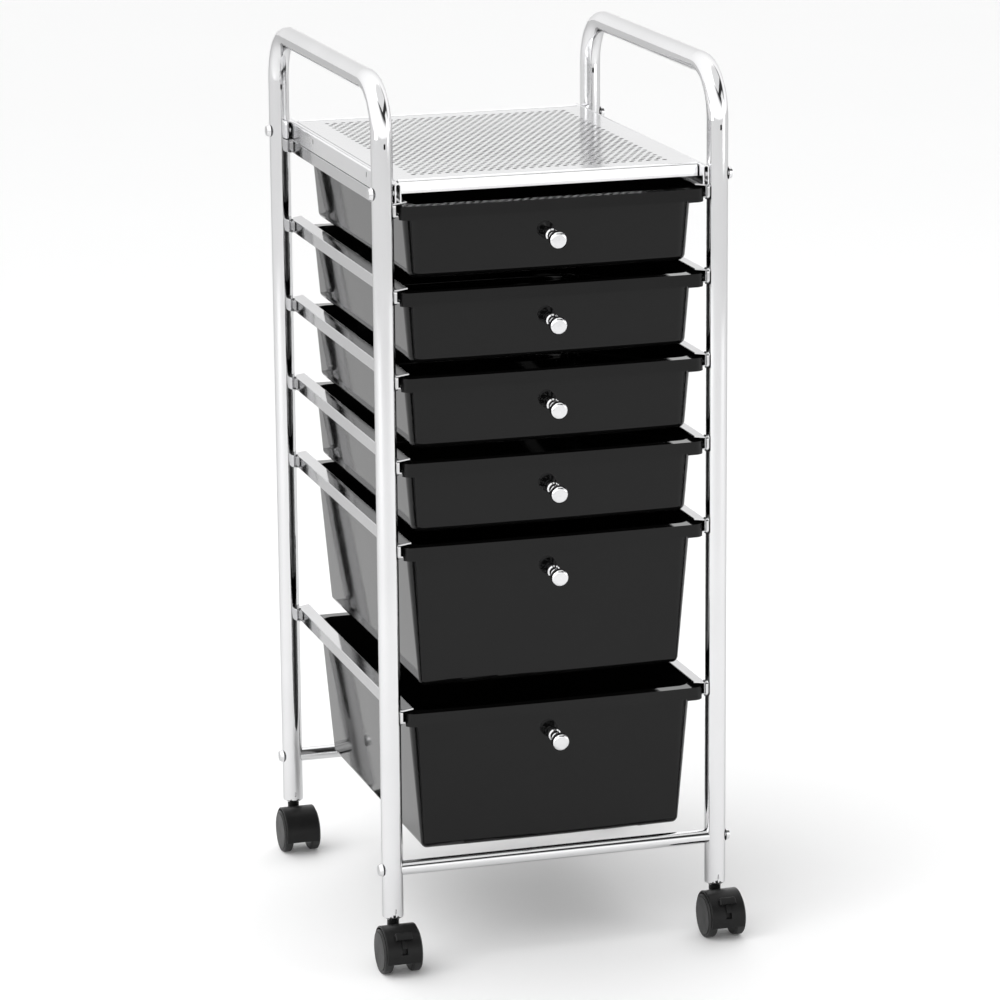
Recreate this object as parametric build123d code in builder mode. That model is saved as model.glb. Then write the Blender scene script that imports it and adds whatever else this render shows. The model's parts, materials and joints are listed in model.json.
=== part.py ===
from build123d import *
from math import cos, radians, sin, tan
import os

# Rolling salon trolley: two chrome side frames, a steel top tray and six sliding plastic drawers on twin-wheel casters.
# Millimetres, +Z up. The front, where the drawers open, faces -Y, and +X is to the right of someone standing there.
# The origin is on the floor, under the middle of the trolley's outline.

# ---------------------------------------------------------------- driving dimensions
overall_height = 805
post_radius = 9.5
tube_wall = 1.2
post_half_width = 153  # across X, to the post centres
post_half_depth = 180  # along Y, from the frame's middle to the post centres
handle_bend = 45
post_bottom_z = 46

rail_pitch = 76
top_rail_z = 687.5
rail_levels = [0, 1, 2, 3, 4, 6]  # the last drawers are deep and take two pitches each
rail_height = 10.5
rail_reach = 10  # how far the rail's top flange reaches inwards
sheet = 1.2

tray_top_z = 711.5
tray_hem_height = 17
tray_hem_width = 5.8
tray_front_lip = 11.2
tray_half_depth = 170
hem_slot_half_pitch = 93

drawer_half_width = 133
drawer_front = -180
drawer_back = 152
draft = 5
shallow_depth = 66
deep_depth = 133
drawer_wall = 2.4
drawer_bow = 2.5
rim_half_width = 139.9
rim_overhang = 7.5
rim_top = 3.4  # above the rail's middle
rim_height = 6.4
rim_front_height = 10.5
rim_tab_height = 12

knob_drop = 30.5  # knob axis below the rail's middle
knob_length = 22
screw_radius = 2

brace_radius = 6.5
brace_z = 90.5
tray_bolt_z = 702.5
bolt_radius = 3
bolt_head_radius = 6

wheel_radius = 20
wheel_width = 9.4
wheel_gap = 8.6  # from the caster's middle to each wheel's inner face
hood_radius = 23
hood_half_width = 16
hood_wall = 1.7
hood_hem_z = 13.8
caster_trail = 17
stem_radius = 3.5
axle_radius = 2.5
running = 0.05  # radial clearance of a shaft in its hole
gap = 0.3  # between parts that move past each other

# ---------------------------------------------------------------- derived places
inner_side = post_half_width - post_radius
frame_middle = (caster_trail + hood_radius - post_radius) / 2
front_posts = frame_middle - post_half_depth
rear_posts = frame_middle + post_half_depth
rail_heights = [top_rail_z - rail_pitch * level for level in rail_levels]
drawer_depths = [shallow_depth] * 4 + [deep_depth] * 2
sides = {"left": -1, "right": 1}
ends = {"front": front_posts, "rear": rear_posts}
corners = [(side * post_half_width, y) for y in ends.values() for side in sides.values()]

os.makedirs("parts", exist_ok=True)


def save(piece, name):
    """Labels a finished piece and writes it as its own STEP file."""
    piece.part.label = name
    export_step(piece.part, f"parts/{name}.step")


# ---------------------------------------------------------------- side frames
def side_frame(side):
    """One tube bent into an upside-down U, with its bolt holes and the small punched slots that lock the inserts."""
    x = side * post_half_width
    crown_z = overall_height - post_radius
    with BuildPart() as frame:
        with BuildLine() as route:
            FilletPolyline(
                (x, front_posts, post_bottom_z),
                (x, front_posts, crown_z),
                (x, rear_posts, crown_z),
                (x, rear_posts, post_bottom_z),
                radius=handle_bend,
            )
        with BuildSketch(Plane((x, front_posts, post_bottom_z))):
            Circle(post_radius)
            Circle(post_radius - tube_wall, mode=Mode.SUBTRACT)
        sweep(path=route.line)
        rims = frame.edges().group_by(Axis.Z)[0].filter_by(GeomType.CIRCLE)
        fillet([edge for edge in rims if edge.radius > post_radius - 0.1], radius=1)
        for y in ends.values():
            with BuildSketch(Plane((x, y, 0), x_dir=(0, 1, 0), z_dir=(1, 0, 0))):
                with Locations((0, brace_z), (0, tray_bolt_z)):
                    Circle(bolt_radius + running)
            extrude(amount=post_radius + 1, both=True, mode=Mode.SUBTRACT)
            with BuildSketch(Plane((x, y, 0), x_dir=(1, 0, 0), z_dir=(0, -1, 0))):
                with Locations((0, post_bottom_z + 7), (0, tray_top_z + 33)):
                    SlotOverall(5, 1.6, rotation=90)
            extrude(amount=post_radius + 1, mode=Mode.SUBTRACT)
    return frame


for name, side in sides.items():
    save(side_frame(side), f"{name}_side_frame")


# ---------------------------------------------------------------- braces, bolts and caster inserts
def brace(y):
    """A straight cross tube with closed, tapped ends, coped to sit against the two posts."""
    with BuildPart() as tube:
        with BuildSketch(Plane((0, y, brace_z), x_dir=(0, 1, 0), z_dir=(1, 0, 0))):
            Circle(brace_radius)
        extrude(amount=post_half_width, both=True)
        with BuildSketch(Plane((0, y, brace_z), x_dir=(0, 1, 0), z_dir=(1, 0, 0))):
            Circle(brace_radius - 1.5)
        extrude(amount=inner_side - 22, both=True, mode=Mode.SUBTRACT)
        with BuildSketch(Plane((0, y, brace_z), x_dir=(0, 1, 0), z_dir=(1, 0, 0))):
            Circle(bolt_radius + running)
        extrude(amount=post_half_width, both=True, mode=Mode.SUBTRACT)
        with Locations((post_half_width, y, brace_z), (-post_half_width, y, brace_z)):
            Cylinder(post_radius + 0.02, 40, mode=Mode.SUBTRACT)
    return tube


for name, y in ends.items():
    save(brace(y), f"{name}_brace")

bolt_lengths = {brace_z: 30, tray_bolt_z: 21.5}

with BuildPart() as frame_bolts:
    for z, length in bolt_lengths.items():
        for side in sides.values():
            for y in ends.values():
                head = Plane((side * (post_half_width + post_radius), y, z), z_dir=(side, 0, 0))
                with BuildSketch(head.offset(-length)):
                    Circle(bolt_radius)
                extrude(amount=length)
                with BuildSketch(head):
                    Circle(bolt_head_radius)
                extrude(amount=3.4, taper=22)
save(frame_bolts, "frame_bolts")

with BuildPart() as caster_inserts:
    for x, y in corners:
        with BuildSketch(Plane((x, y, post_bottom_z))):
            Circle(post_radius - tube_wall)
        extrude(amount=32)
        with BuildSketch(Plane((x, y, post_bottom_z))):
            Circle(post_radius - 1.6)
        extrude(amount=-1.5, taper=40)
        with BuildSketch(Plane((x, y, post_bottom_z - 2))):
            Circle(stem_radius + running)
        extrude(amount=36, mode=Mode.SUBTRACT)
save(caster_inserts, "caster_inserts")


# ---------------------------------------------------------------- drawer rails
def rail(side, z):
    """A folded channel between two posts: a tall web, a top flange that tilts up and a short lip that carries the rim."""
    web = side * (inner_side - 1.2)
    with BuildPart() as channel:
        with BuildSketch(Plane((0, rear_posts + 6.5, z), x_dir=(1, 0, 0), z_dir=(0, -1, 0))):
            with BuildLine() as fold:
                Polyline(
                    (web - side * rail_reach, rail_height / 2 + 1.4),
                    (web, rail_height / 2),
                    (web, -rail_height / 2),
                    (web - side * 5, -rail_height / 2 - 0.6),
                )
                offset(amount=sheet / 2, side=Side.BOTH)
            make_face()
        extrude(amount=2 * post_half_depth + 8)
        for y in ends.values():
            with BuildSketch(Plane((web, y, z), x_dir=(0, 1, 0), z_dir=(side, 0, 0))):
                SlotOverall(15, 9, rotation=90)
            extrude(amount=6)
            with Locations((side * post_half_width, y, z)):
                Cylinder(post_radius + 0.02, 60, mode=Mode.SUBTRACT)
    return channel


for number, z in enumerate(rail_heights, start=1):
    for name, side in sides.items():
        save(rail(side, z), f"{name}_rail_{number}")

# ---------------------------------------------------------------- top tray
hem_outer = inner_side - 0.1
hem_inner = hem_outer - tray_hem_width
hem_bottom = tray_top_z - tray_hem_height
hem_length = 2 * post_half_depth + 12

with BuildPart() as top_tray:
    with BuildSketch(Plane.XY.offset(tray_top_z)):
        with Locations((0, frame_middle)):
            Rectangle(2 * hem_outer - 2, 2 * tray_half_depth)
    extrude(amount=-sheet)
    for side in sides.values():
        middle = side * (hem_outer + hem_inner) / 2
        with BuildSketch(Plane((middle, frame_middle, hem_bottom), x_dir=(1, 0, 0), z_dir=(0, -1, 0))):
            Rectangle(tray_hem_width, tray_hem_height, align=(Align.CENTER, Align.MIN))
            fillet(vertices().group_by(Axis.Z)[-1], radius=2.6)
            inside = (tray_hem_width - 2 * sheet, tray_hem_height - sheet)
            Rectangle(*inside, align=(Align.CENTER, Align.MIN), mode=Mode.SUBTRACT)
        extrude(amount=hem_length / 2, both=True)
        with BuildSketch(Plane((side * hem_outer, frame_middle, tray_top_z - 7), x_dir=(0, 1, 0), z_dir=(side, 0, 0))):
            with Locations((-hem_slot_half_pitch, 0), (hem_slot_half_pitch, 0)):
                SlotOverall(4.5, 1.8, rotation=90)
        extrude(amount=-2 * sheet, mode=Mode.SUBTRACT)
    for end in (-1, 1):
        edge = frame_middle + end * tray_half_depth
        with BuildSketch(Plane((0, edge, tray_top_z), x_dir=(0, end, 0), z_dir=(end, 0, 0))):
            with BuildLine():
                Polyline((-1, -sheet / 2), (2.5, -sheet / 2), (3.6, -2.2), (3.6, -tray_front_lip))
                offset(amount=sheet / 2, side=Side.BOTH)
            make_face()
        extrude(amount=hem_inner - 1, both=True)
    for side in sides.values():
        for y in ends.values():
            with BuildSketch(Plane((side * hem_outer, y, tray_bolt_z), z_dir=(side, 0, 0))):
                Circle(bolt_radius + running)
            extrude(amount=tray_hem_width / 2, both=True, mode=Mode.SUBTRACT)
save(top_tray, "top_tray")


# ---------------------------------------------------------------- drawers
def bowed_outline(inset, front, back, corner, mode=Mode.ADD):
    """A rounded rectangle, seen from above, whose front edge bows gently outwards."""
    half = rim_half_width - inset
    with BuildSketch(mode=Mode.PRIVATE) as shape:
        with BuildLine():
            Polyline((half, front), (half, back), (-half, back), (-half, front))
            ThreePointArc((-half, front), (0, front - drawer_bow), (half, front))
        make_face()
        fillet(shape.vertices(), radius=corner)
    add(shape.sketch, mode=mode)


def drawer(z, depth):
    """A tapered tub with rounded corners, hung from a rim whose skirt is deeper at the front."""
    front = frame_middle + drawer_front
    back = frame_middle + drawer_back
    body_inset = rim_half_width - drawer_half_width
    rim_front = front - rim_overhang
    rim_back = back + rim_overhang
    skirt = 2.2
    mouth = Plane.XY.offset(z + rim_top)
    with BuildPart() as tub:
        with BuildSketch(mouth):
            bowed_outline(body_inset, front, back, 16)
        extrude(amount=-depth, taper=draft)
        fillet(tub.faces().sort_by(Axis.Z)[0].edges(), radius=6)
        offset(amount=-drawer_wall, openings=tub.faces().sort_by(Axis.Z)[-1])
        with BuildSketch(mouth):
            bowed_outline(0, rim_front, rim_back, 9)
            bowed_outline(body_inset + 1, front + 1, back - 1, 15, mode=Mode.SUBTRACT)
        extrude(amount=-skirt)
        for height in (rim_height, rim_front_height, rim_tab_height):
            with BuildSketch(mouth):
                bowed_outline(0, rim_front, rim_back, 9)
                bowed_outline(skirt, rim_front + skirt, rim_back - skirt, 7, mode=Mode.SUBTRACT)
                with Locations((0, rim_front)):
                    if height > rim_height:
                        Rectangle(2 * rim_half_width, 10.4, mode=Mode.INTERSECT)
                    if height > rim_front_height:
                        Rectangle(2 * rim_half_width - 32, 12, mode=Mode.SUBTRACT)
            extrude(amount=-height)
        with Locations(knob_seat(z)):
            Cylinder(screw_radius + running, 30, mode=Mode.SUBTRACT)
    return tub


def knob_seat(z):
    """The plane on a drawer's sloping front where its knob stands, with its axis along the normal."""
    y = frame_middle + drawer_front - drawer_bow + (knob_drop + rim_top) * tan(radians(draft))
    return Plane((0, y, z - knob_drop), x_dir=(1, 0, 0), z_dir=(0, -cos(radians(draft)), -sin(radians(draft))))


def knob(z):
    """A turned knob: a foot, a grooved neck and a rounded cap, with a blind hole for its screw."""
    seat = knob_seat(z)
    section = Plane(seat.origin, x_dir=(1, 0, 0), z_dir=-seat.y_dir)
    with BuildPart() as turned:
        with BuildSketch(section):
            with BuildLine():
                Polyline((0, 0.02), (5.8, 0.02), (5.8, 1.2), (4.6, 2.2), (4.2, 7), (4.9, 7.6), (4.2, 8.2), (4.4, 11))
                Line((4.4, 11), (7.7, 15))
                Line((7.7, 15), (7.7, knob_length - 2))
                ThreePointArc((7.7, knob_length - 2), (6.6, knob_length - 0.8), (4.5, knob_length - 0.2))
                Polyline((4.5, knob_length - 0.2), (0, knob_length), (0, 0.02))
            make_face()
        revolve(axis=Axis(seat.origin, seat.z_dir))
        with BuildSketch(seat):
            Circle(screw_radius)
        extrude(amount=12, mode=Mode.SUBTRACT)
    return turned


def knob_screw(z):
    """The screw that holds a knob from inside the drawer."""
    seat = knob_seat(z)
    with BuildPart() as screw:
        with BuildSketch(seat.offset(-drawer_wall - 0.02)):
            Circle(screw_radius)
        extrude(amount=13)
        with BuildSketch(seat.offset(-drawer_wall - 0.02)):
            Circle(4)
        extrude(amount=-2.2, taper=15)
    return screw


for number, (z, depth) in enumerate(zip(rail_heights, drawer_depths), start=1):
    save(drawer(z, depth), f"drawer_{number}")
    save(knob(z), f"knob_{number}")
    save(knob_screw(z), f"knob_screw_{number}")


# ---------------------------------------------------------------- casters
def ring_sector(inner, outer, start, end):
    """Part of a ring between two angles, measured up from straight ahead."""
    with BuildSketch(mode=Mode.PRIVATE) as sector:
        with BuildLine():
            near = CenterArc((0, 0), inner, start, end - start)
            far = CenterArc((0, 0), outer, start, end - start)
            Line(near @ 0, far @ 0)
            Line(near @ 1, far @ 1)
        make_face()
    add(sector.sketch)


def caster_plane(x, y):
    """The plane across a caster's axle, with its first axis forwards and its second one up."""
    return Plane((x, y - caster_trail, wheel_radius), x_dir=(0, -1, 0), z_dir=(-1, 0, 0))


def caster_hood(x, y, has_brake):
    """A round hood over both wheels, with a central web for the axle and a neck that turns under the post."""
    plane = caster_plane(x, y)
    web_half_width = wheel_gap - 0.8
    with BuildPart() as hood:
        with BuildSketch(plane):
            Circle(hood_radius)
        extrude(amount=hood_half_width, both=True)
        fillet(hood.edges().filter_by(GeomType.CIRCLE), radius=1)
        for outwards in (-1, 1):
            with BuildSketch(plane.offset(outwards * web_half_width)):
                Circle(hood_radius - hood_wall)
            extrude(amount=outwards * hood_half_width, mode=Mode.SUBTRACT)
        with BuildSketch(Plane((x, y, wheel_radius + 13.6))):
            Circle(5.4)
        extrude(amount=post_bottom_z - 1.5 - gap - wheel_radius - 13.6)
        with BuildSketch(Plane((x, y, post_bottom_z))):
            Circle(stem_radius)
        extrude(amount=-10.5, mode=Mode.SUBTRACT)
        with BuildSketch(plane):
            Circle(axle_radius)
        extrude(amount=hood_half_width, both=True, mode=Mode.SUBTRACT)
        with BuildSketch(Plane((x, y - caster_trail, hood_hem_z))):
            Rectangle(60, 60)
        extrude(amount=-30, mode=Mode.SUBTRACT)
        if has_brake:
            with BuildSketch(plane):
                ring_sector(hood_radius - 3.6, hood_radius + 2, 6, 56)
            extrude(amount=2.6, both=True, mode=Mode.SUBTRACT)
    return hood


def brake_lever(x, y):
    """A T-shaped lever that slides round the front of the hood in its slot."""
    plane = caster_plane(x, y)
    with BuildPart() as lever:
        with BuildSketch(plane):
            ring_sector(hood_radius - 3.3, hood_radius + 1.2, 20, 48)
        extrude(amount=2.3, both=True)
        with BuildSketch(plane):
            ring_sector(hood_radius + 0.4, hood_radius + 4, 38, 53)
        extrude(amount=7.7, both=True)
        fillet(lever.edges().filter_by(GeomType.CIRCLE).group_by(SortBy.RADIUS)[-1], radius=1.2)
        fillet(lever.edges().filter_by(Axis.X).sort_by(Axis.Z)[-2:], radius=1)
    return lever


def caster_stem(x, y):
    """The steel pin that joins a caster to its post."""
    with BuildPart() as stem:
        with BuildSketch(Plane((x, y, post_bottom_z - 10.4))):
            Circle(stem_radius)
        extrude(amount=40)
        chamfer(stem.edges().sort_by(Axis.Z)[-1], length=1)
    return stem


def caster_axle(x, y):
    """The steel pin that both wheels turn on."""
    with BuildPart() as axle:
        with BuildSketch(caster_plane(x, y)):
            Circle(axle_radius)
        extrude(amount=wheel_gap + wheel_width - 2.6, both=True)
    return axle


def caster_wheel(x, y, side):
    """One wheel with a flat outer cover, a thin groove round the cover's edge and a blind hole for the axle."""
    r = wheel_radius
    w = wheel_width
    hole = axle_radius + running
    depth = w - 2.4
    inner_face = Plane((x + side * wheel_gap, y - caster_trail, wheel_radius), x_dir=(0, 0, 1), z_dir=(0, side, 0))
    with BuildPart() as wheel:
        with BuildSketch(inner_face):
            Polygon(
                (hole, 0), (r - 2.6, 0), (r - 0.9, 0.5), (r, 1.8), (r, w - 1.4), (r - 0.9, w - 0.5), (r - 1.8, w - 0.5),
                (r - 1.8, w - 1), (r - 2.4, w - 1), (r - 2.4, w - 0.2), (r - 3.2, w), (0, w), (0, depth), (hole, depth),
                align=None,
            )
        revolve(axis=Axis((x, y - caster_trail, wheel_radius), (1, 0, 0)))
    return wheel


for end, y in ends.items():
    for hand, side in sides.items():
        x = side * post_half_width
        caster = f"{end}_{hand}"
        save(caster_hood(x, y, end == "front"), f"{caster}_caster_hood")
        save(caster_stem(x, y), f"{caster}_caster_stem")
        save(caster_axle(x, y), f"{caster}_caster_axle")
        save(caster_wheel(x, y, -1), f"{caster}_wheel_left")
        save(caster_wheel(x, y, 1), f"{caster}_wheel_right")
        if end == "front":
            save(brake_lever(x, y), f"{caster}_brake_lever")
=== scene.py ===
"""Looks for the rolling salon trolley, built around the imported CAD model.

Metres, +Z up, the front faces -Y.
"""

import json
import math

import bmesh
import bpy
from mathutils import Euler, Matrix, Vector


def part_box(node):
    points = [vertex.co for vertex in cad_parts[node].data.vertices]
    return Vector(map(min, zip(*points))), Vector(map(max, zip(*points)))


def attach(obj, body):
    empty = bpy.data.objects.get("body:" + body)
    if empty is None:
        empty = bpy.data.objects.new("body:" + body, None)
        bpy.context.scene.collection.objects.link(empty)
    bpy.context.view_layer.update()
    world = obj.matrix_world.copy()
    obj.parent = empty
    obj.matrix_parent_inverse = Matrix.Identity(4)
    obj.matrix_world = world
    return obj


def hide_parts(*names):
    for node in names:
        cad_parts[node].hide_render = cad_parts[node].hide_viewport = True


# The photograph's viewpoint
CAMERA_PLACE = (-1.148, -3.792, 1.370)
CAMERA_YAW = 16.85
CAMERA_PITCH = 14.04
CAMERA_ROLL = -0.49
CAMERA_LENS = 159.3

# How strongly the surfaces reflect
EDGE_TINT = 0.62
GLOSS_IOR = 1.32
SATIN_IOR = 1.28

# The white surround of the studio, and the soft dark patch high on its front right
WORLD_STRENGTH = 1.45
DARK_DIRECTION = (0.48, -0.36, 0.80)
DARK_FROM = 0.68
DARK_TO = 0.86
DARK_SHADE = 0.03

# The perforated tray, the same size as its CAD solid
SHEET = 0.0012
HOLE_PITCH = 0.0077
HOLE_RADIUS = 0.0021
HOLE_MARGIN_X = 0.0215
HOLE_MARGIN_Y = 0.022
HEM_WIDTH = 0.0058
HEM_HEIGHT = 0.017
SLOT_DROP = 0.007
SLOT_HEIGHT = 0.0045
SLOT_WIDTH = 0.0018
SLOT_HALF_PITCH = 0.093
HOLE_POINTS_PER_EDGE = 3
SHEET_HALF_DEPTH = 0.170
FOLD_RADIUS = 0.0022
MERGE_DISTANCE = 1e-6
SHARP_ANGLE = 35

# The folded lip along the tray's front and back, measured outwards and down from the sheet's edge
LIP_LAP = 0.0006
LIP_BEAD_OUT = 0.0005
LIP_BEAD_RISE = 0.0006
LIP_OUT = 0.0036
LIP_FACE_TOP = 0.0038
LIP_FACE_BOTTOM = 0.0112
LIP_END_GAP = 0.001

# The floor
FLOOR_HALF_SIZE = 30
FLOOR_SHADE = 0.93

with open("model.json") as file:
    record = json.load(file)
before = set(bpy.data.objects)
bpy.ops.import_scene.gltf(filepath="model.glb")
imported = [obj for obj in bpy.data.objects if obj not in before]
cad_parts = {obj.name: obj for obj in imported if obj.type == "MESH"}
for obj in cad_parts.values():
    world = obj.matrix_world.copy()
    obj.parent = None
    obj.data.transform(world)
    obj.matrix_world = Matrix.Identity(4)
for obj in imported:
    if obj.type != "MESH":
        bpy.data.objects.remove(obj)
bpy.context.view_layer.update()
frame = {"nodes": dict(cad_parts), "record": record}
nodes = frame["nodes"]


# ---------------------------------------------------------------- materials
class Finish:
    """A Principled material whose roughness, colour and bump vary over the surface through noise nodes."""

    def __init__(self, name, colour, metallic, roughness):
        self.material = bpy.data.materials.new(name)
        self.material.use_nodes = True
        self.tree = self.material.node_tree
        self.shader = self.tree.nodes["Principled BSDF"]
        self.shader.inputs["Base Color"].default_value = (*colour, 1)
        self.shader.inputs["Metallic"].default_value = metallic
        self.shader.inputs["Roughness"].default_value = roughness
        self.colour = colour
        self.coordinates = self.tree.nodes.new("ShaderNodeTexCoord").outputs["Object"]
        self.normal = None

    def noise(self, scale, detail=4.0, roughness=0.55, stretch=(1, 1, 1)):
        """Noise of a given number of cells per metre, stretched by a factor along each axis."""
        mapping = self.tree.nodes.new("ShaderNodeMapping")
        mapping.inputs["Scale"].default_value = stretch
        self.tree.links.new(self.coordinates, mapping.inputs["Vector"])
        texture = self.tree.nodes.new("ShaderNodeTexNoise")
        texture.inputs["Scale"].default_value = scale
        texture.inputs["Detail"].default_value = detail
        texture.inputs["Roughness"].default_value = roughness
        self.tree.links.new(mapping.outputs["Vector"], texture.inputs["Vector"])
        return texture.outputs["Fac"]

    def vary_roughness(self, source, low, high):
        """Maps a noise onto the shader's roughness."""
        spread = self.tree.nodes.new("ShaderNodeMapRange")
        spread.inputs["From Min"].default_value = 0.3
        spread.inputs["From Max"].default_value = 0.7
        spread.inputs["To Min"].default_value = low
        spread.inputs["To Max"].default_value = high
        self.tree.links.new(source, spread.inputs["Value"])
        self.tree.links.new(spread.outputs["Result"], self.shader.inputs["Roughness"])

    def vary_colour(self, source, low, high):
        """Mixes two tints of the base colour by a noise."""
        ramp = self.tree.nodes.new("ShaderNodeValToRGB")
        ramp.color_ramp.elements[0].position = 0.3
        ramp.color_ramp.elements[1].position = 0.7
        ramp.color_ramp.elements[0].color = (*[c * low for c in self.colour], 1)
        ramp.color_ramp.elements[1].color = (*[c * high for c in self.colour], 1)
        self.tree.links.new(source, ramp.inputs["Fac"])
        self.tree.links.new(ramp.outputs["Color"], self.shader.inputs["Base Color"])

    def bump(self, source, strength, distance):
        """Adds a bump on top of any earlier one."""
        bump = self.tree.nodes.new("ShaderNodeBump")
        bump.inputs["Strength"].default_value = strength
        bump.inputs["Distance"].default_value = distance
        self.tree.links.new(source, bump.inputs["Height"])
        if self.normal:
            self.tree.links.new(self.normal, bump.inputs["Normal"])
        self.normal = bump.outputs["Normal"]
        self.tree.links.new(self.normal, self.shader.inputs["Normal"])


def chrome(name, tint, low, high, brushed=(1, 1, 1)):
    """Bright plating, darker at its edges, with faint smears, a slight waviness and polishing marks."""
    finish = Finish(name, (tint, tint, tint * 1.01), 1.0, (low + high) / 2)
    finish.shader.inputs["Specular Tint"].default_value = (EDGE_TINT, EDGE_TINT, EDGE_TINT, 1)
    finish.vary_roughness(finish.noise(35, 6), low, high)
    finish.vary_colour(finish.noise(12, 3), 0.97, 1.02)
    finish.bump(finish.noise(40, 2), 0.05, 0.0004)
    finish.bump(finish.noise(900, 3, stretch=brushed), 0.04, 0.0001)
    return finish.material


def glossy_plastic(name, shade, low, high):
    """Moulded gloss: a soft orange peel, slow thickness waves and a few duller smears."""
    finish = Finish(name, (shade, shade, shade), 0.0, (low + high) / 2)
    finish.shader.inputs["IOR"].default_value = GLOSS_IOR
    finish.vary_roughness(finish.noise(18, 7, 0.6), low, high)
    finish.vary_colour(finish.noise(25, 4), 0.9, 1.12)
    finish.bump(finish.noise(14, 2), 0.12, 0.0012)
    finish.bump(finish.noise(420, 3), 0.05, 0.0002)
    return finish.material


def satin_plastic(name, shade, low, high, grain=1500):
    """Moulded satin: an even fine grain and a slow change of sheen."""
    finish = Finish(name, (shade, shade, shade), 0.0, (low + high) / 2)
    finish.shader.inputs["IOR"].default_value = SATIN_IOR
    finish.vary_roughness(finish.noise(60, 5), low, high)
    finish.vary_colour(finish.noise(80, 4), 0.85, 1.15)
    finish.bump(finish.noise(grain, 4), 0.25, 0.0002)
    return finish.material


finishes = {
    "chrome_tube": chrome("chrome_tube", 0.71, 0.03, 0.08, (6, 6, 0.4)),
    "rail_chrome": chrome("rail_chrome", 0.66, 0.06, 0.12, (6, 0.4, 6)),
    "tray_chrome": chrome("tray_chrome", 0.88, 0.11, 0.19, (0.5, 6, 6)),
    "knob_chrome": chrome("knob_chrome", 0.72, 0.03, 0.08, (3, 1, 3)),
    "bolt_steel": chrome("bolt_steel", 0.70, 0.12, 0.22),
    "pin_steel": chrome("pin_steel", 0.50, 0.22, 0.36),
    "insert_steel": chrome("insert_steel", 0.62, 0.20, 0.32),
    "drawer_plastic": glossy_plastic("drawer_plastic", 0.003, 0.03, 0.08),
    "caster_plastic": satin_plastic("caster_plastic", 0.007, 0.34, 0.46),
    "wheel_plastic": satin_plastic("wheel_plastic", 0.022, 0.38, 0.52),
    "brake_plastic": satin_plastic("brake_plastic", 0.009, 0.28, 0.40),
}
for part in frame["record"]["subparts"]:
    mesh = nodes[part["node"]].data
    mesh.materials.clear()
    mesh.materials.append(finishes[part["material_slot"]])


# ---------------------------------------------------------------- top tray
def hexagon(centre_x, centre_y, pitch):
    """The corners of one cell of the perforation grid, with the same number of points along each edge."""
    reach = pitch / math.sqrt(3)
    turns = [math.radians(60 * k) for k in range(6)]
    corners = [Vector((centre_x + reach * math.sin(a), centre_y + reach * math.cos(a))) for a in turns]
    points = []
    for k in range(6):
        for step in range(HOLE_POINTS_PER_EDGE):
            points.append(corners[k].lerp(corners[(k + 1) % 6], step / HOLE_POINTS_PER_EDGE))
    return points


def perforated_sheet(mesh, low, high, top):
    """Fills a rectangle with hexagonal cells, drilled except near its edges, and thickens it."""
    row_pitch = HOLE_PITCH * math.sqrt(3) / 2
    middle = (low + high) / 2
    half = (high - low) / 2
    columns = int(half.x / HOLE_PITCH) + 2
    rows = int(half.y / row_pitch) + 2
    for row in range(-rows, rows + 1):
        shift = HOLE_PITCH / 2 if row % 2 else 0
        for column in range(-columns, columns + 1):
            x = middle.x + column * HOLE_PITCH + shift
            y = middle.y + row * row_pitch
            rim = hexagon(x, y, HOLE_PITCH)
            outer = [mesh.verts.new((p.x, p.y, top)) for p in rim]
            if abs(x - middle.x) > half.x - HOLE_MARGIN_X or abs(y - middle.y) > half.y - HOLE_MARGIN_Y:
                mesh.faces.new(outer[::-1])
                continue
            count = len(rim)
            turns = [2 * math.pi * k / count for k in range(count)]
            bore = [(HOLE_RADIUS * math.sin(a), HOLE_RADIUS * math.cos(a)) for a in turns]
            inner = [mesh.verts.new((x + across, y + along, top)) for across, along in bore]
            for k in range(count):
                after = (k + 1) % count
                mesh.faces.new((outer[after], outer[k], inner[k], inner[after]))
    bmesh.ops.remove_doubles(mesh, verts=mesh.verts, dist=MERGE_DISTANCE)
    cuts = [
        ((low.x, 0, 0), (-1, 0, 0)),
        ((high.x, 0, 0), (1, 0, 0)),
        ((0, low.y, 0), (0, -1, 0)),
        ((0, high.y, 0), (0, 1, 0)),
    ]
    for place, normal in cuts:
        everything = mesh.verts[:] + mesh.edges[:] + mesh.faces[:]
        bmesh.ops.bisect_plane(mesh, geom=everything, plane_co=place, plane_no=normal, clear_outer=True)
    bmesh.ops.solidify(mesh, geom=mesh.faces[:], thickness=SHEET)


def swept_profile(mesh, profile, stations, place, windows=()):
    """A closed strip profile swept along a line of stations; place turns (across, up, along) into (x, y, z).

    In each span listed in windows, a slot goes right through the strip, between its second and third points.
    """
    rings = [[mesh.verts.new(place(across, up, along)) for across, up in profile] for along in stations]
    count = len(profile)
    for span, (ring, onward) in enumerate(zip(rings, rings[1:])):
        slotted = span in windows
        for k in range(count):
            if slotted and k in (1, count - 3):
                continue
            after = (k + 1) % count
            mesh.faces.new((ring[k], ring[after], onward[after], onward[k]))
        if slotted:
            for k in (1, 2):
                mesh.faces.new((ring[k], onward[k], onward[count - 1 - k], ring[count - 1 - k]))
            for cut in (ring, onward):
                mesh.faces.new((cut[1], cut[2], cut[count - 3], cut[count - 2]))
    mesh.faces.new(rings[0][::-1])
    mesh.faces.new(rings[-1])


def thick_line(points, thickness):
    """The closed outline of a strip of sheet that runs along a line of points."""
    left, right = [], []
    for k, point in enumerate(points):
        before = points[max(k - 1, 0)]
        after = points[min(k + 1, len(points) - 1)]
        along = (Vector(after) - Vector(before)).normalized()
        across = Vector((-along.y, along.x)) * thickness / 2
        left.append(Vector(point) + across)
        right.append(Vector(point) - across)
    return left + right[::-1]


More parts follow.
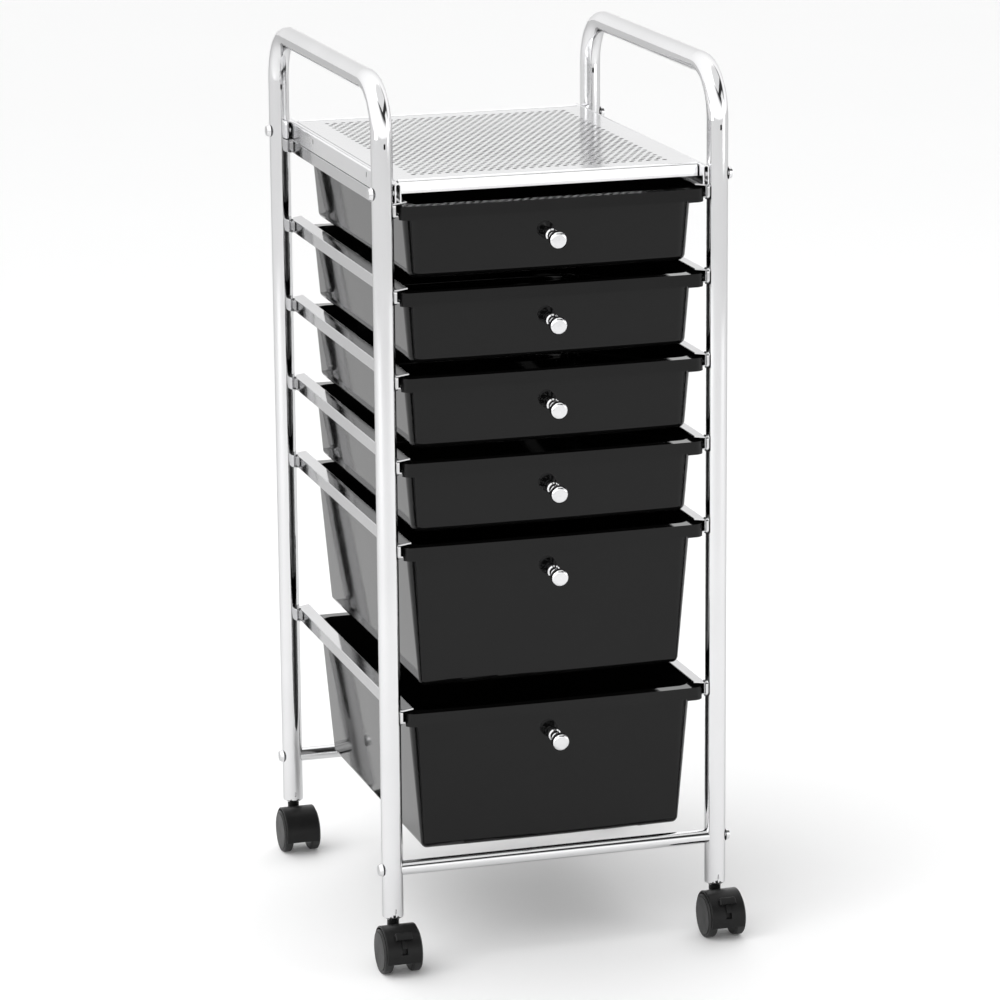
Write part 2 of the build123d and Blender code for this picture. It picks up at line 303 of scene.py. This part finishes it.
def arc(centre, radius, start, end, steps=8):
    """Points along an arc, with angles in degrees."""
    turns = [math.radians(start + (end - start) * k / steps) for k in range(steps + 1)]
    return [(centre[0] + radius * math.cos(a), centre[1] + radius * math.sin(a)) for a in turns]


def tray():
    """The top tray: a drilled sheet, a hollow folded hem on each side, and a folded front and back edge."""
    low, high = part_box("top_tray")
    top = high.z
    middle_y = (low.y + high.y) / 2
    mesh = bmesh.new()
    sheet_low = Vector((low.x + HEM_WIDTH - SHEET, middle_y - SHEET_HALF_DEPTH))
    sheet_high = Vector((high.x - HEM_WIDTH + SHEET, middle_y + SHEET_HALF_DEPTH))
    perforated_sheet(mesh, sheet_low, sheet_high, top)
    mid = SHEET / 2
    hem_bottom = top - HEM_HEIGHT
    slot_z = top - SLOT_DROP
    slot_edges = [middle_y + k * SLOT_HALF_PITCH + e * SLOT_WIDTH / 2 for k in (-1, 1) for e in (-1, 1)]
    for side, edge in ((-1, low.x), (1, high.x)):
        centre = (HEM_WIDTH - mid - FOLD_RADIUS, top - mid - FOLD_RADIUS)
        outer_bend = arc((mid + FOLD_RADIUS, centre[1]), FOLD_RADIUS, 180, 90)
        inner_bend = arc(centre, FOLD_RADIUS, 90, 0)
        slot = [(mid, slot_z - SLOT_HEIGHT / 2), (mid, slot_z + SLOT_HEIGHT / 2)]
        line = [(mid, hem_bottom), *slot, *outer_bend, *inner_bend, (HEM_WIDTH - mid, hem_bottom)]
        profile = [(p.x, p.y) for p in thick_line(line, SHEET)]
        stations = [low.y, *slot_edges, high.y]
        swept_profile(
            mesh,
            profile,
            stations,
            lambda across, up, along, edge=edge, side=side: (edge - side * across, along, up),
            windows=(1, 3),
        )
    for end in (-1, 1):
        edge = middle_y + end * SHEET_HALF_DEPTH
        bead = arc((LIP_BEAD_OUT, top - mid - FOLD_RADIUS + LIP_BEAD_RISE), FOLD_RADIUS, 100, 0)
        face = [(LIP_OUT, top - LIP_FACE_TOP), (LIP_OUT, top - LIP_FACE_BOTTOM)]
        line = [(-LIP_LAP, top - mid), *bead, *face]
        profile = [(p.x, p.y) for p in thick_line(line, SHEET)]
        start = low.x + HEM_WIDTH + LIP_END_GAP
        stop = high.x - HEM_WIDTH - LIP_END_GAP
        swept_profile(
            mesh,
            profile,
            [start, stop],
            lambda across, up, along, edge=edge, end=end: (along, edge + end * across, up),
        )
    bmesh.ops.recalc_face_normals(mesh, faces=mesh.faces)
    data = bpy.data.meshes.new("perforated_tray")
    mesh.to_mesh(data)
    mesh.free()
    piece = bpy.data.objects.new("perforated_tray", data)
    bpy.context.scene.collection.objects.link(piece)
    data.materials.append(finishes["tray_chrome"])
    data.shade_smooth()
    data.set_sharp_from_angle(angle=math.radians(SHARP_ANGLE))
    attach(piece, "frame")
    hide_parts("top_tray")


tray()


# ---------------------------------------------------------------- floor, light and camera
def floor():
    """A plain pale floor."""
    data = bpy.data.meshes.new("floor")
    size = FLOOR_HALF_SIZE
    corners = [(-size, -size, 0), (size, -size, 0), (size, size, 0), (-size, size, 0)]
    data.from_pydata(corners, [], [(0, 1, 2, 3)])
    plane = bpy.data.objects.new("floor", data)
    bpy.context.scene.collection.objects.link(plane)
    finish = Finish("studio_floor", (FLOOR_SHADE, FLOOR_SHADE, FLOOR_SHADE), 0.0, 0.8)
    finish.vary_colour(finish.noise(0.8, 2), 0.995, 1.005)
    data.materials.append(finish.material)


def softbox(name, place, aim, width, height, power):
    """A large rectangular light that points at a place and isn't seen itself."""
    data = bpy.data.lights.new(name, "AREA")
    data.shape = "RECTANGLE"
    data.size = width
    data.size_y = height
    data.energy = power
    lamp = bpy.data.objects.new(name, data)
    bpy.context.scene.collection.objects.link(lamp)
    lamp.location = place
    lamp.rotation_euler = (Vector(aim) - Vector(place)).to_track_quat("-Z", "Y").to_euler()
    lamp.visible_camera = False


def studio():
    """Plain soft white light: a white surround and three softboxes.

    The surround has one dark patch for the chrome to reflect.
    """
    world = bpy.data.worlds.new("studio")
    bpy.context.scene.world = world
    world.use_nodes = True
    tree = world.node_tree
    background = tree.nodes["Background"]
    background.inputs["Strength"].default_value = WORLD_STRENGTH
    coordinates = tree.nodes.new("ShaderNodeTexCoord")
    towards = tree.nodes.new("ShaderNodeVectorMath")
    towards.operation = "DOT_PRODUCT"
    towards.inputs[1].default_value = Vector(DARK_DIRECTION).normalized()
    spread = tree.nodes.new("ShaderNodeMapRange")
    spread.interpolation_type = "SMOOTHSTEP"
    spread.inputs["From Min"].default_value = DARK_FROM
    spread.inputs["From Max"].default_value = DARK_TO
    ramp = tree.nodes.new("ShaderNodeValToRGB")
    ramp.color_ramp.elements[0].color = (1.0, 1.0, 1.0, 1)
    ramp.color_ramp.elements[1].color = (DARK_SHADE, DARK_SHADE, DARK_SHADE, 1)
    tree.links.new(coordinates.outputs["Generated"], towards.inputs[0])
    tree.links.new(towards.outputs["Value"], spread.inputs["Value"])
    tree.links.new(spread.outputs["Result"], ramp.inputs["Fac"])
    tree.links.new(ramp.outputs["Color"], background.inputs["Color"])
    softbox("top_light", (0.4, -0.3, 2.6), (0, 0, 0.4), 2.4, 2.4, 18)
    softbox("left_light", (-2.4, -0.8, 1.4), (0, 0, 0.4), 1.6, 2.2, 16)
    softbox("right_light", (2.2, -1.6, 1.2), (0, 0, 0.4), 1.2, 2.0, 9)
    bpy.context.scene.view_settings.view_transform = "Standard"


def camera():
    """The camera at the photograph's viewing angle."""
    data = bpy.data.cameras.new("camera")
    data.lens = CAMERA_LENS
    data.sensor_width = 36
    data.clip_start = 0.1
    data.clip_end = 50
    view = bpy.data.objects.new("camera", data)
    bpy.context.scene.collection.objects.link(view)
    view.location = CAMERA_PLACE
    facing = Euler((math.radians(90 - CAMERA_PITCH), 0, math.radians(-CAMERA_YAW)), "XYZ").to_matrix()
    roll = Euler((0, 0, math.radians(CAMERA_ROLL)), "XYZ").to_matrix()
    view.rotation_euler = (facing @ roll).to_euler()
    bpy.context.scene.camera = view


floor()
studio()
camera()
